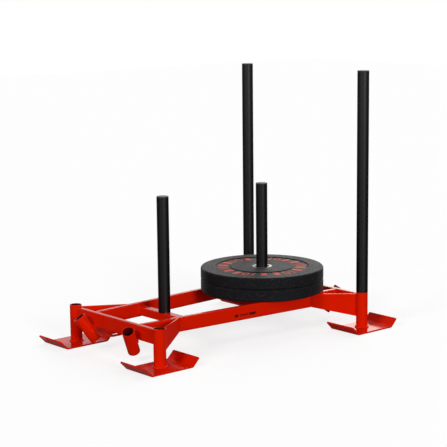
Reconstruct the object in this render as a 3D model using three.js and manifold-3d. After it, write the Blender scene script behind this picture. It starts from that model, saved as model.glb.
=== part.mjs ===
// Push sled: a welded steel frame on four skids with turned-up ends, two tall push poles and two
// weight posts that lift out of it, four low handle tubes, and two bumper plates on the rear post.
// Millimetres. +X runs to the tall poles, +Z is up, and the origin is on the ground at mid-length.
// The sled is pushed towards -X, so -Y is its left side.
import * as THREE from 'three';
import { mergeVertices } from 'three/addons/utils/BufferGeometryUtils.js';
import Module from 'manifold-3d';

const wasm = await Module();
wasm.setup();

// Stance of the frame
const wheelbase = 875;          // front posts to rear posts, centre to centre
const frontTrack = 474;         // between the centres of the front posts
const rearTrack = 614;          // between the centres of the rear posts
const frameTop = 128.5;         // ground to the top face of the rails and cross members
const frontRailSpacing = 247;   // between the rail centrelines at the front posts
const rearRailSpacing = 366;    // between the rail centrelines at the rear posts

// Round tube, used for the corner posts, the poles, the weight posts and the low handles
const tubeDiameter = 42;
const tubeWall = 2.5;

// Flat-sided tube on edge, used for the rails and the main cross members
const beamHeight = 50;
const beamWidth = 20;
const beamWall = 2.5;
const beamCorner = 4;           // outer corner radius

// Cross tubes that carry the weight posts
const carrierHeight = 30;
const carrierWidth = 35;
const carrierDrop = 13.5;       // its top face lies this far below the frame's top
const weightPostSpacing = 458;  // front weight post to rear weight post
const supportX = 155;           // cross member under the bumper plates

// Joints between pieces
const weldSeam = 0.3;           // gap at a cut or coped end, filled by the weld
const slideFit = 0.3;           // gap on each side of a spigot, a stub, a plug or a moulded-in ring

// Corner posts
const postProud = 7;            // the post stands this far above the frame's top
const postWeld = 5;             // leg of the weld fillet at the foot of a post

// Skids
const skidThickness = 6;
const skidWidth = 134;
const skidFlat = 172;           // flat length on the ground
const skidLipRun = 28;          // how far each turned-up end reaches out
const skidLipAngle = Math.PI / 4;
const skidBendRadius = 6;       // inside radius of the bend

// Gusset plates between the corner posts and the rails
const gussetThickness = 5;
const frontGussetReach = 154.5; // from the post's centre to the gusset's end on the rail, along X
const frontGussetFoot = 41;     // how far its lower corner at the post hangs below the rail
const rearGussetReach = 131.5;
const rearGussetFoot = 36.5;

// Low handle tubes, each welded against the lower outer edge of a cross member
const lowHandleLength = 98.5;
const lowHandleReach = 56;      // from the weld up to the open mouth
const lowHandleSpacing = 241;   // between the two tubes of a pair, at the weld
const lowHandleLean = THREE.MathUtils.degToRad(35);
const lowHandleToe = THREE.MathUtils.degToRad(34);

// Tow loop: a round bar bent to a U that lies level under the front cross member
const towBar = 8;
const towBend = 16;             // radius of the bend at the middle of the bar
const towReach = 37.5;          // from the posts' line to the middle of the bar at the bend
const towRoot = 8;              // how far the legs run on behind the posts' line

// Tall push poles
const poleTop = 932.5;          // ground to the top of the cap
const spigotWall = 3;
const spigotDrop = 120;         // part of the spigot that goes down into the corner post
const spigotGrip = 80;          // part of the spigot that is held inside the pole
const spigotChamfer = 3;

// Weight posts
const weightPostTop = 523;      // ground to the top of the cap
const stubHeight = 100;
const stubWall = 3;
const stubChamfer = 2;

// Caps in the tops of the poles and weight posts
const capHead = 4;
const capEdge = 2;              // rounding of the cap's edge
const capPlug = 18;             // depth of the plug inside the tube
const capTaper = 1;             // how much the plug narrows at its end

// Bumper plates
const plateDiameter = 450;
const plateThickness = 43.5;
const plateEdge = 6;            // rounding of the rim
const plateRingOuter = 345;     // outer diameter of the sunken ring on each face
const plateRingInner = 227;     // its inner diameter, which is the hub disc's
const plateRingDepth = 3;
const plateRingSlope = 3;       // width of the sloping step at each side of the ring
const plateBore = 50.6;
const hubDiameter = 74;         // outside of the steel ring round the bore
const hubBoreChamfer = 2;

// Fineness of the round shapes
const tubeSides = 28;
const barSides = 12;
const barSteps = 16;
const plateSides = 52;
const hubSides = 36;
const arcSteps = 3;

// Places that follow from the sizes above
const frontX = -wheelbase / 2;
const rearX = wheelbase / 2;
const tubeRadius = tubeDiameter / 2;
const tubeBore = tubeRadius - tubeWall;
const postTop = frameTop + postProud;
const frameBottom = frameTop - beamHeight;
const carrierTop = frameTop - carrierDrop;
const weightPostX = weightPostSpacing / 2;
const cutterLength = 4 * frameTop; // runs past both sides of whatever it cuts

// Finishes
const finish = (color, roughness, metalness) => ({ color, roughness, metalness });
const redPowderCoat = finish(0xcc1a08, 0.3, 0);
const blackPowderCoat = finish(0x111214, 0.45, 0);
const blackPlastic = finish(0x0d0d0e, 0.55, 0);
const zincSteel = finish(0xb9bcc0, 0.35, 1);
const fleckedRubber = finish(0x1b1c1e, 0.8, 0);

const sled = new THREE.Group();

function add(name, geometry, surface, parent = sled) {
  const mesh = new THREE.Mesh(geometry, new THREE.MeshStandardMaterial(surface));
  mesh.name = name;
  parent.add(mesh);
  return mesh;
}

// Points along an arc of a profile, from one angle to another
function arc(x, y, radius, from, to) {
  return Array.from({ length: arcSteps + 1 }, (_, i) => {
    const angle = from + ((to - from) * i) / arcSteps;
    return new THREE.Vector2(x + radius * Math.cos(angle), y + radius * Math.sin(angle));
  });
}

const point = (x, y) => new THREE.Vector2(x, y);

// A solid of revolution about Z, from a profile of radius and height that runs anticlockwise.
// A ring's profile is closed on itself, and a solid's starts and ends on the axis.
function revolve(profile, sides, closed = true) {
  const points = closed ? [...profile, profile[0]] : profile;
  return new THREE.LatheGeometry(points, sides).rotateX(Math.PI / 2);
}

// A plain round tube with square-cut ends
function pipe(outer, inner, bottom, top) {
  return revolve([
    point(inner, bottom), point(outer, bottom), point(outer, top), point(inner, top),
  ], tubeSides);
}

// A rectangle with rounded corners, centred on the origin
function roundedRectangle(width, height, radius, PathType) {
  const x = width / 2 - radius;
  const y = height / 2 - radius;
  return new PathType([
    ...arc(x, y, radius, 0, Math.PI / 2),
    ...arc(-x, y, radius, Math.PI / 2, Math.PI),
    ...arc(-x, -y, radius, Math.PI, Math.PI * 1.5),
    ...arc(x, -y, radius, Math.PI * 1.5, Math.PI * 2),
  ]);
}

// The wall of a flat-sided tube in cross-section
function tubeSection(width, height, wall, corner) {
  const section = roundedRectangle(width, height, corner, THREE.Shape);
  section.holes.push(roundedRectangle(width - 2 * wall, height - 2 * wall, corner - wall, THREE.Path));
  return section;
}

// Extrudes a section of width and height along X or along Y, with its length centred
function extrudeAlongX(section, length) {
  const turn = new THREE.Matrix4().makeBasis(
    new THREE.Vector3(0, 1, 0), new THREE.Vector3(0, 0, 1), new THREE.Vector3(1, 0, 0));
  const geometry = new THREE.ExtrudeGeometry(section, { depth: length, bevelEnabled: false });
  return geometry.translate(0, 0, -length / 2).applyMatrix4(turn);
}

function extrudeAlongY(section, length) {
  const geometry = new THREE.ExtrudeGeometry(section, { depth: length, bevelEnabled: false });
  return geometry.translate(0, 0, -length / 2).rotateX(Math.PI / 2);
}

// Closed geometry to a solid and back, for cutting one shape with another
function toSolid(geometry) {
  const bare = new THREE.BufferGeometry();
  bare.setAttribute('position', geometry.getAttribute('position').clone());
  if (geometry.index) bare.setIndex(geometry.index.clone());
  const merged = mergeVertices(bare);
  return new wasm.Manifold(new wasm.Mesh({
    numProp: 3,
    vertProperties: new Float32Array(merged.getAttribute('position').array),
    triVerts: new Uint32Array(merged.index.array),
  }));
}

function toGeometry(solid) {
  const mesh = solid.getMesh();
  const geometry = new THREE.BufferGeometry();
  geometry.setAttribute('position', new THREE.BufferAttribute(new Float32Array(mesh.vertProperties), 3));
  geometry.setIndex(new THREE.BufferAttribute(new Uint32Array(mesh.triVerts), 1));
  geometry.computeVertexNormals();
  return geometry;
}

function cut(geometry, ...cutters) {
  return toGeometry(cutters.reduce((solid, cutter) => solid.subtract(toSolid(cutter)), toSolid(geometry)));
}

// Half the distance between the rail centrelines at a place along the sled
const railSplay = (rearRailSpacing - frontRailSpacing) / 2 / wheelbase;
const railOffset = (x) => frontRailSpacing / 2 + railSplay * (x - frontX);

// Stretches a shape that is 2 wide in Y, so that its ends follow the splayed rails
function fitToRails(geometry, margin) {
  const position = geometry.getAttribute('position');
  for (let i = 0; i < position.count; i += 1) {
    position.setY(i, position.getY(i) * (railOffset(position.getX(i)) + margin));
  }
  return geometry;
}

// The four corners, each with its skid, post, gusset and low handle
const corners = [
  {
    name: 'left_front', x: frontX, y: -frontTrack / 2, end: -1, side: -1,
    reach: frontGussetReach, foot: frontGussetFoot,
  },
  {
    name: 'right_front', x: frontX, y: frontTrack / 2, end: -1, side: 1,
    reach: frontGussetReach, foot: frontGussetFoot,
  },
  {
    name: 'left_rear', x: rearX, y: -rearTrack / 2, end: 1, side: -1,
    reach: rearGussetReach, foot: rearGussetFoot,
  },
  {
    name: 'right_rear', x: rearX, y: rearTrack / 2, end: 1, side: 1,
    reach: rearGussetReach, foot: rearGussetFoot,
  },
];

// A skid: one plate bent up at both ends, seen from the side and extruded across
function skidGeometry() {
  const bendOuter = skidBendRadius + skidThickness;
  const sin = Math.sin(skidLipAngle);
  const cos = Math.cos(skidLipAngle);
  const bendStart = skidFlat / 2 - bendOuter * Math.tan(skidLipAngle / 2);
  const tipX = skidFlat / 2 + skidLipRun;
  const tipZ = skidLipRun * Math.tan(skidLipAngle);
  const half = [
    ...arc(bendStart, bendOuter, bendOuter, -Math.PI / 2, skidLipAngle - Math.PI / 2),
    point(tipX, tipZ),
    point(tipX - skidThickness * sin, tipZ + skidThickness * cos),
    ...arc(bendStart, bendOuter, skidBendRadius, skidLipAngle - Math.PI / 2, -Math.PI / 2),
  ];
  const otherHalf = half.map((p) => point(-p.x, p.y)).reverse();
  return extrudeAlongY(new THREE.Shape([...half, ...otherHalf]), skidWidth);
}

// A corner post: an open tube with the weld fillet round its foot
function postGeometry() {
  return revolve([
    point(tubeBore, skidThickness),
    point(tubeRadius + postWeld, skidThickness),
    ...arc(tubeRadius + postWeld, skidThickness + postWeld, postWeld, Math.PI * 1.5, Math.PI).slice(1),
    point(tubeRadius, postTop),
    point(tubeBore, postTop),
  ], tubeSides);
}

// An upright cutter that leaves the weld's gap round a post
function postCutter() {
  const radius = tubeRadius + weldSeam;
  return new THREE.CylinderGeometry(radius, radius, cutterLength, tubeSides).rotateX(Math.PI / 2);
}

// A cross member between two posts, coped round them
function crossMemberGeometry(track) {
  const beam = extrudeAlongY(tubeSection(beamWidth, beamHeight, beamWall, beamCorner), track);
  return cut(beam, postCutter().translate(0, -track / 2, 0), postCutter().translate(0, track / 2, 0));
}

// A rail between the cross members, sheared so that its ends stay square to the sled
function railGeometry(side) {
  const rail = extrudeAlongX(
    tubeSection(beamWidth, beamHeight, beamWall, beamCorner), wheelbase - beamWidth);
  const shear = new THREE.Matrix4().set(1, 0, 0, 0, side * railSplay, 1, 0, 0, 0, 0, 1, 0, 0, 0, 0, 1);
  return rail.applyMatrix4(shear);
}

// A cross tube between the rails, with its ends cut to their splay
function betweenRails(width, height, corner, x, z) {
  const tube = extrudeAlongY(tubeSection(width, height, beamWall, corner), 2).translate(x, 0, z);
  return fitToRails(tube, -beamWidth / 2 - weldSeam);
}

// A gusset plate on edge, drawn along its own length from the post's centre, then cut to the post
// and to the rail's outer face
function addGusset(corner) {
  const railX = corner.x - corner.end * corner.reach;
  const railY = corner.side * (railOffset(railX) + beamWidth / 2);
  const along = new THREE.Vector2(railX - corner.x, railY - corner.y);
  const length = along.length();
  const outline = new THREE.Shape([
    point(0, frameBottom - corner.foot),
    point(length, frameBottom),
    point(length, frameTop),
    point(0, frameTop),
  ]);
  const plate = extrudeAlongY(outline, gussetThickness);
  const mesh = add(`${corner.name}_gusset`, plate, redPowderCoat);
  mesh.position.set(corner.x, corner.y, 0);
  mesh.rotation.z = along.angle();
  mesh.updateMatrix();
  const rails = fitToRails(
    new THREE.BoxGeometry(wheelbase, 2, cutterLength), beamWidth / 2 + weldSeam);
  mesh.geometry = cut(plate, postCutter(), rails.applyMatrix4(mesh.matrix.clone().invert()));
}

// A low handle: an open tube that leans out and up, touching the cross member's lower outer edge
function addLowHandle(corner) {
  const axis = new THREE.Vector3(
    corner.end * Math.sin(lowHandleLean) * Math.cos(lowHandleToe),
    corner.side * Math.sin(lowHandleLean) * Math.sin(lowHandleToe),
    Math.cos(lowHandleLean));
  const edgeCentre = new THREE.Vector3(
    corner.x + corner.end * (beamWidth / 2 - beamCorner),
    corner.side * lowHandleSpacing / 2,
    frameBottom + beamCorner);
  const outward = new THREE.Vector3(0, corner.end, 0).cross(axis).normalize();
  const seat = edgeCentre.clone().addScaledVector(outward, beamCorner + weldSeam + tubeRadius);
  const tube = pipe(tubeRadius, tubeBore, lowHandleReach - lowHandleLength, lowHandleReach);
  const mesh = add(`${corner.name}_low_handle`, tube, redPowderCoat);
  mesh.position.copy(seat);
  mesh.quaternion.setFromUnitVectors(new THREE.Vector3(0, 0, 1), axis);
}

for (const corner of corners) {
  add(`${corner.name}_skid`, skidGeometry(), redPowderCoat).position.set(corner.x, corner.y, 0);
  add(`${corner.name}_post`, postGeometry(), redPowderCoat).position.set(corner.x, corner.y, 0);
  addGusset(corner);
  addLowHandle(corner);
}

const beamMiddle = frameTop - beamHeight / 2;
add('front_cross_member', crossMemberGeometry(frontTrack), redPowderCoat)
  .position.set(frontX, 0, beamMiddle);
add('rear_cross_member', crossMemberGeometry(rearTrack), redPowderCoat)
  .position.set(rearX, 0, beamMiddle);

for (const [name, side] of [['left_rail', -1], ['right_rail', 1]]) {
  add(name, railGeometry(side), redPowderCoat).position.set(0, side * railOffset(0), beamMiddle);
}

add('plate_support', betweenRails(beamWidth, beamHeight, beamCorner, supportX, beamMiddle), redPowderCoat);

// The tow loop, swept along its middle line
function towLoopGeometry() {
  const line = [
    point(towRoot, -towBend),
    ...arc(towBend - towReach, 0, towBend, Math.PI * 1.5, Math.PI),
    ...arc(towBend - towReach, 0, towBend, Math.PI, Math.PI / 2).slice(1),
    point(towRoot, towBend),
  ];
  const path = new THREE.CatmullRomCurve3(line.map((p) => new THREE.Vector3(p.x, p.y, 0)));
  const section = new THREE.Shape(Array.from({ length: barSides }, (_, i) => {
    const angle = (i * 2 * Math.PI) / barSides;
    return point(Math.cos(angle) * towBar / 2, Math.sin(angle) * towBar / 2);
  }));
  return new THREE.ExtrudeGeometry(section, { extrudePath: path, steps: barSteps });
}

add('tow_loop', towLoopGeometry(), redPowderCoat)
  .position.set(frontX, 0, frameBottom - weldSeam - towBar / 2);

// A round cap: a head that is flush with the tube and a plug inside it
function capGeometry() {
  const plugRadius = tubeBore - slideFit;
  return revolve([
    point(0, -capPlug),
    point(plugRadius - capTaper, -capPlug),
    point(plugRadius, -capPlug + capTaper),
    point(plugRadius, 0),
    point(tubeRadius, 0),
    ...arc(tubeRadius - capEdge, capHead - capEdge, capEdge, 0, Math.PI / 2),
    point(0, capHead),
  ], tubeSides, false);
}

// A weight post: a stub on its carrier tube, and a capped tube that slips over the stub
function addWeightPost(name, x) {
  const carrier = betweenRails(
    carrierWidth, carrierHeight, beamCorner, x, carrierTop - carrierHeight / 2);
  add(`${name}_post_carrier`, carrier, redPowderCoat);
  const stubRadius = tubeBore - slideFit;
  const stub = revolve([
    point(stubRadius - stubWall, 0),
    point(stubRadius, 0),
    point(stubRadius, stubHeight - stubChamfer),
    point(stubRadius - stubChamfer, stubHeight),
    point(stubRadius - stubWall, stubHeight),
  ], tubeSides);
  add(`${name}_post_stub`, stub, redPowderCoat).position.set(x, 0, carrierTop);
  const group = new THREE.Group();
  group.position.set(x, 0, carrierTop);
  sled.add(group);
  const length = weightPostTop - capHead - carrierTop;
  add(`${name}_weight_post`, pipe(tubeRadius, tubeBore, 0, length), blackPowderCoat, group);
  add(`${name}_weight_post_cap`, capGeometry(), blackPlastic, group).position.z = length;
}

addWeightPost('front', -weightPostX);
addWeightPost('rear', weightPostX);

// A tall pole: a capped tube with a spigot held in its foot, which drops into a rear corner post
function addPole(name, y) {
  const group = new THREE.Group();
  group.position.set(rearX, y, postTop);
  sled.add(group);
  const length = poleTop - capHead - postTop;
  const spigotRadius = tubeBore - slideFit;
  const spigot = revolve([
    point(spigotRadius - spigotWall, -spigotDrop),
    point(spigotRadius - spigotChamfer / 2, -spigotDrop),
    point(spigotRadius, -spigotDrop + spigotChamfer),
    point(spigotRadius, spigotGrip),
    point(spigotRadius - spigotWall, spigotGrip),
  ], tubeSides);
  add(`${name}_tall_pole`, pipe(tubeRadius, tubeBore, 0, length), blackPowderCoat, group);
  add(`${name}_pole_spigot`, spigot, blackPowderCoat, group);
  add(`${name}_pole_cap`, capGeometry(), blackPlastic, group).position.z = length;
}

addPole('left', -rearTrack / 2);
addPole('right', rearTrack / 2);

// Profile of one face of a bumper plate, from the rim inwards, at a height above mid-thickness
function plateFace(face) {
  const z = plateThickness / 2;
  const ringOuter = plateRingOuter / 2;
  const ringInner = plateRingInner / 2;
  const rim = plateDiameter / 2 - plateEdge;
  return [
    ...arc(rim, z - plateEdge, plateEdge, 0, Math.PI / 2),
    point(ringOuter, z),
    point(ringOuter - plateRingSlope, z - plateRingDepth),
    point(ringInner + plateRingSlope, z - plateRingDepth),
    point(ringInner, z),
    point(hubDiameter / 2 + slideFit, z),
  ].map((p) => point(p.x, p.y * face));
}

// Profile of one face of the steel ring in the plate's bore, from its outside inwards
function hubFace(face) {
  const z = plateThickness / 2;
  const bore = plateBore / 2;
  return [
    point(hubDiameter / 2, z),
    point(bore + hubBoreChamfer, z),
    point(bore, z - hubBoreChamfer),
  ].map((p) => point(p.x, p.y * face));
}

// A bumper plate lying flat, with the steel ring moulded into its bore
function addPlate(name, bottom) {
  const group = new THREE.Group();
  group.position.set(weightPostX, 0, bottom + plateThickness / 2);
  sled.add(group);
  const rubber = revolve([...plateFace(1), ...plateFace(-1).reverse()], plateSides);
  const ring = revolve([...hubFace(1), ...hubFace(-1).reverse()], hubSides);
  add(name, rubber, fleckedRubber, group);
  add(`${name}_hub_ring`, ring, zincSteel, group);
}

addPlate('lower_plate', frameTop);
addPlate('upper_plate', frameTop + plateThickness);

export default sled;
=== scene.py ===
"""The push sled dressed: the finished form of each piece, its welds and coats, the floor and the light.

Sizes are in millimetres until a piece is placed. +X runs to the tall poles, +Z is up and -Y is left.
"""

import math

import bmesh
import bpy
from mathutils import Matrix, Vector


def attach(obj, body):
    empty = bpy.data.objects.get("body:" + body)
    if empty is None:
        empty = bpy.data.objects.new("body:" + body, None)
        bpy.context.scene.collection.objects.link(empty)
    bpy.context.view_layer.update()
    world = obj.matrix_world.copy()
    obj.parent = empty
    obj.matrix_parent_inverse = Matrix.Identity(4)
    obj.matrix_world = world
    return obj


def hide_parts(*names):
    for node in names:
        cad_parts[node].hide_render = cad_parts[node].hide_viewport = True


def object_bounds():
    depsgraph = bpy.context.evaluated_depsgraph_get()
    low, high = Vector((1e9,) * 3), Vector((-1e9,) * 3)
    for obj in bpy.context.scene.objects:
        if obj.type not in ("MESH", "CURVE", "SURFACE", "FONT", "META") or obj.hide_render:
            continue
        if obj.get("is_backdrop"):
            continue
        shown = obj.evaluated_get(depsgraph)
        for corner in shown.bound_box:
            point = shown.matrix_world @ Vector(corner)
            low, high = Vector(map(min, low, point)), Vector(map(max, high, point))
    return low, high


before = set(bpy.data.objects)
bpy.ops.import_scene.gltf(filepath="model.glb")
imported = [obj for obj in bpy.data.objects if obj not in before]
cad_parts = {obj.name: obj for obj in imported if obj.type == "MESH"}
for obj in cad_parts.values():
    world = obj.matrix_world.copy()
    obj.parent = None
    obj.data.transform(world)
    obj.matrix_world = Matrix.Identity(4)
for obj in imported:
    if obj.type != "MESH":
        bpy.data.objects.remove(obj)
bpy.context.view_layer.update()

MM = 0.001

# Stance of the frame
WHEELBASE = 875
FRONT_X, REAR_X = -WHEELBASE / 2, WHEELBASE / 2
FRONT_TRACK, REAR_TRACK = 474, 614
FRAME_TOP = 128.5
POST_TOP = 135.5
FRONT_RAIL_SPACING, REAR_RAIL_SPACING = 247, 366

# Tubes
TUBE_RADIUS, TUBE_BORE = 21, 18.5
BEAM_HEIGHT, BEAM_WIDTH, BEAM_WALL, BEAM_CORNER = 50, 20, 2.5, 4
FRAME_BOTTOM = FRAME_TOP - BEAM_HEIGHT
BEAM_MIDDLE = FRAME_TOP - BEAM_HEIGHT / 2
CARRIER_WIDTH, CARRIER_HEIGHT, CARRIER_TOP = 35, 30, 115
WEIGHT_POST_X = 229
SUPPORT_X = 155
SEAM = 0.3              # gap left at a cut end, under the weld
EDGE = 0.5              # rounding of a deburred tube or plate edge
FINE_EDGE = 0.3         # rounding of a turned or moulded edge

# Skids
SKID_THICKNESS, SKID_WIDTH, SKID_FLAT = 6, 134, 172
SKID_LIP_RUN, SKID_BEND, SKID_ANGLE = 28, 6, math.pi / 4
SKID_CORNER, SKID_EDGE = 3, 1   # rounding of the blank's corners and of its edges

# Gussets: their reach along the sled, and how far the lower edge drops to the post's middle
GUSSET_THICKNESS = 5
FRONT_GUSSET_REACH, FRONT_GUSSET_DROP = 154.5, 41
REAR_GUSSET_REACH, REAR_GUSSET_DROP = 131.5, 36.5

# Low handles: their length, how much of it lies above the touch on the beam, and the touches' spacing
HANDLE_LENGTH, HANDLE_REACH, HANDLE_SPACING = 98.5, 56, 241
HANDLE_LEAN, HANDLE_TOE = math.radians(35), math.radians(34)

# Tow loop: the bar's radius, the bend's, and how far it runs before and behind the beam's middle
TOW_BAR, TOW_BEND, TOW_REACH, TOW_ROOT = 4, 16, 37.5, 8

# Poles and weight posts
POLE_TOP, WEIGHT_POST_TOP = 932.5, 523
SPIGOT_DROP, SPIGOT_GRIP = 120, 80  # below the pole's foot, and inside the pole
STUB_HEIGHT, STUB_CHAMFER = 100, 2
INNER_RADIUS, INNER_WALL = 18.2, 3
CAP_HEAD, CAP_EDGE, CAP_PLUG, CAP_CHAMFER = 4, 2, 18, 1

# Bumper plates
PLATE_RADIUS, PLATE_THICKNESS, PLATE_EDGE = 225, 43.5, 6
RING_OUTER, RING_INNER, RING_DEPTH, RING_SLOPE, RING_EDGE = 172.5, 113.5, 3, 3, 1
HUB_RADIUS, HUB_BORE, HUB_CHAMFER = 37, 25.3, 2
RUBBER_LIP = 0.4        # rounding of the rubber round the hub ring

# Fineness of the meshes
ROUND_STEPS = 96        # facets round a tube
PLATE_STEPS = 192       # facets round a plate
ARC_STEPS = 5           # facets in a rounded corner
EDGE_STEPS = 2          # facets in a rounded edge
BEND_STEPS = 8          # facets in a skid's bend
BAR_STEPS, LOOP_STEPS = 24, 12  # facets round the tow loop's bar, and along its bend
SHARP = math.radians(32)        # an edge that turns more than this stays crisp
SAME_PLACE = 1e-6       # a distance that counts as none
MERGE = 1e-4            # vertices nearer than this become one


# Shaping

def verts_of(result):
    """The vertices in what an extrusion returns."""
    return [v for v in result["geom"] if isinstance(v, bmesh.types.BMVert)]


def round_corner(bm, corner, radius):
    """Rounds one corner of a flat outline."""
    bmesh.ops.bevel(
        bm, geom=[corner], offset=radius, offset_type="OFFSET", segments=ARC_STEPS,
        profile=0.5, affect="VERTICES", material=-1)


def round_edges(bm, edges, radius):
    """Rounds the edges of a solid."""
    bmesh.ops.bevel(
        bm, geom=edges, offset=radius, offset_type="OFFSET", segments=EDGE_STEPS,
        profile=0.5, affect="EDGES", material=-1, clamp_overlap=True)


def turned(outline, steps=ROUND_STEPS):
    """A round solid about Z. Each corner of the outline is a radius, a height and its rounding."""
    bm = bmesh.new()
    corners = [bm.verts.new((r, 0, z)) for r, z, _ in outline]
    bm.faces.new(corners)
    for corner, (_, _, rounding) in zip(corners, outline):
        if rounding:
            round_corner(bm, corner, rounding)
    bmesh.ops.delete(bm, geom=bm.faces[:], context="FACES_ONLY")
    on_axis = [e for e in bm.edges if all(v.co.x < SAME_PLACE for v in e.verts)]
    bmesh.ops.delete(bm, geom=on_axis, context="EDGES")
    bmesh.ops.spin(
        bm, geom=bm.verts[:] + bm.edges[:], cent=(0, 0, 0), axis=(0, 0, 1),
        angle=math.tau, steps=steps, use_merge=True)
    bmesh.ops.remove_doubles(bm, verts=bm.verts[:], dist=MERGE)
    return bm


def round_tube(bottom, top):
    """A round tube with deburred ends. Its bore takes the piece's second coat, whose dark red is painted
    shade.
    """
    bm = turned([
        (TUBE_BORE, bottom, EDGE), (TUBE_RADIUS, bottom, EDGE),
        (TUBE_RADIUS, top, EDGE), (TUBE_BORE, top, EDGE)])
    bore_reach = TUBE_BORE + 0.1    # only the bore's own facets lie within this
    for face in bm.faces:
        face.material_index = int(all(v.co.xy.length < bore_reach for v in face.verts))
    return bm


def box_tube(width, height, length):
    """A flat-sided tube: width along X, height along Y, and its length centred along Z.

    The cells of the grid leave points part way along each wall, which a coped end needs.
    """
    bm = bmesh.new()
    bmesh.ops.create_grid(bm, x_segments=3, y_segments=3, size=0.5)
    bmesh.ops.scale(bm, vec=(width, height, 1), verts=bm.verts)
    for corner in [v for v in bm.verts if len(v.link_edges) == 2]:
        round_corner(bm, corner, BEAM_CORNER)
    inset = bmesh.ops.inset_region(
        bm, faces=bm.faces[:], thickness=BEAM_WALL, use_boundary=True, use_even_offset=True)
    wall = set(inset["faces"])
    bmesh.ops.delete(bm, geom=[f for f in bm.faces if f not in wall], context="FACES")
    bmesh.ops.translate(bm, vec=(0, 0, -length / 2), verts=bm.verts)
    end = bmesh.ops.extrude_face_region(bm, geom=bm.faces[:])
    bmesh.ops.translate(bm, vec=(0, 0, length), verts=verts_of(end))
    return bm


# Turns that lay a standing tube along X or Y
ALONG_X = Matrix(((0, 0, 1, 0), (1, 0, 0, 0), (0, 1, 0, 0), (0, 0, 0, 1)))
ALONG_Y = Matrix.Rotation(math.pi / 2, 4, "X")


def moved(bm, matrix):
    """The same shape in its new place."""
    bmesh.ops.transform(bm, matrix=matrix, verts=bm.verts[:])
    return bm


def at(x, y, z):
    """The move from the origin to a place."""
    return Matrix.Translation((x, y, z))


def place(bm, name, body, coats, nodes=()):
    """Makes the finished shape a piece that rides on its CAD body, in metres."""
    bmesh.ops.recalc_face_normals(bm, faces=bm.faces[:])
    bmesh.ops.scale(bm, vec=(MM, MM, MM), verts=bm.verts[:])
    mesh = bpy.data.meshes.new(name)
    bm.to_mesh(mesh)
    bm.free()
    mesh.shade_smooth()
    mesh.set_sharp_from_angle(angle=SHARP)
    for coat in coats:
        mesh.materials.append(coat)
    piece = bpy.data.objects.new(name, mesh)
    bpy.context.scene.collection.objects.link(piece)
    even = piece.modifiers.new("flats_shade_flat", "WEIGHTED_NORMAL")
    even.keep_sharp = True
    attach(piece, body)
    if nodes:
        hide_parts(*nodes)


# Welds

BEAD_SIDES = 8
BEAD_STEP = 1.2         # length of path between two sections
BEAD_START = 0.45       # share of its full size at either end
BEAD_GROWTH = 0.2       # and how much of it each section adds
BEAD_PROUD = 0.5        # how far a bead's middle lies off the box tube it runs round
RIPPLE_PITCH = 4.0      # the weld pool's steps
RIPPLE_DEPTH = 0.12     # share of the radius
RING_WELD_STEPS = 90
RING_WELD_OVERLAP = 0.25    # radians by which a ring of weld runs past its start

# Radius of the bead at each kind of joint
FOOT_BEAD, CROSS_BEAD, RAIL_BEAD = 3.4, 2, 1.8
GUSSET_BEAD, HANDLE_BEAD, TOW_BEAD = 1.7, 2.6, 1.5

# Where a bead's middle lies, off the two faces that it joins
FOOT_OUT, FOOT_UP = 1.6, 1.4
CROSS_OUT, RAIL_OUT, CARRIER_OUT = 1, 0.8, 0.9
GUSSET_OFF_PLATE, GUSSET_OFF_POST, GUSSET_OFF_RAIL = 0.8, 0.9, 0.6
HANDLE_OUT = 1.4
TOW_IN, TOW_DOWN = 0.6, 1.3

# Where a line of weld ends
GUSSET_FOOT_END, GUSSET_TOP_END = 1.5, 1    # short of the gusset's corners at the post
GUSSET_RAIL_END = 2                         # short of the rail's edges
TOW_WELD_LEAD, TOW_WELD_END = 5, 1          # ahead of the beam's middle, and short of the bar's end


def evenly(path, step):
    """The path's points again, spaced about a step apart."""
    points, left = [path[0]], step
    for a, b in zip(path, path[1:]):
        length = (b - a).length
        while left < length:
            points.append(a.lerp(b, left / length))
            left += step
        left -= length
    return points


def rim_edges(ring):
    """The edges that join a ring of vertices."""
    return list(dict.fromkeys(
        e for v in ring for e in v.link_edges if all(w in ring for w in e.verts)))


def lay_bead(bm, path, radius):
    """A weld bead: a rippled cord along the path, tapered at both ends."""
    points = evenly([Vector(p) for p in path], BEAD_STEP)
    last = len(points) - 1
    tangents = [
        (points[min(i + 1, last)] - points[max(i - 1, 0)]).normalized() for i in range(last + 1)]

    def size(i):
        """The bead's radius at one of its sections."""
        taper = min(1.0, BEAD_START + BEAD_GROWTH * min(i, last - i))
        ripple = abs(math.sin(math.pi * i * BEAD_STEP / RIPPLE_PITCH))
        return radius * taper * (1 - RIPPLE_DEPTH + RIPPLE_DEPTH * ripple)

    turn = tangents[0].to_track_quat("Z", "Y").to_matrix().to_4x4()
    start = bmesh.ops.create_circle(
        bm, segments=BEAD_SIDES, radius=size(0), cap_ends=True,
        matrix=Matrix.Translation(points[0]) @ turn)
    ring = start["verts"]
    for i in range(1, last + 1):
        far = verts_of(bmesh.ops.extrude_edge_only(bm, edges=rim_edges(ring)))
        step = (
            Matrix.Translation(points[i])
            @ tangents[i - 1].rotation_difference(tangents[i]).to_matrix().to_4x4()
            @ Matrix.Scale(size(i) / size(i - 1), 4)
            @ Matrix.Translation(-points[i - 1]))
        bmesh.ops.transform(bm, matrix=step, verts=far)
        ring = far
    bmesh.ops.contextual_create(bm, geom=rim_edges(ring))


def ring_path(x, y, radius, z):
    """Points round a circle, from its +X side and a little past it again."""
    turns = [
        i * (math.tau + RING_WELD_OVERLAP) / RING_WELD_STEPS for i in range(RING_WELD_STEPS + 1)]
    return [(x + radius * math.cos(a), y + radius * math.sin(a), z) for a in turns]


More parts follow.
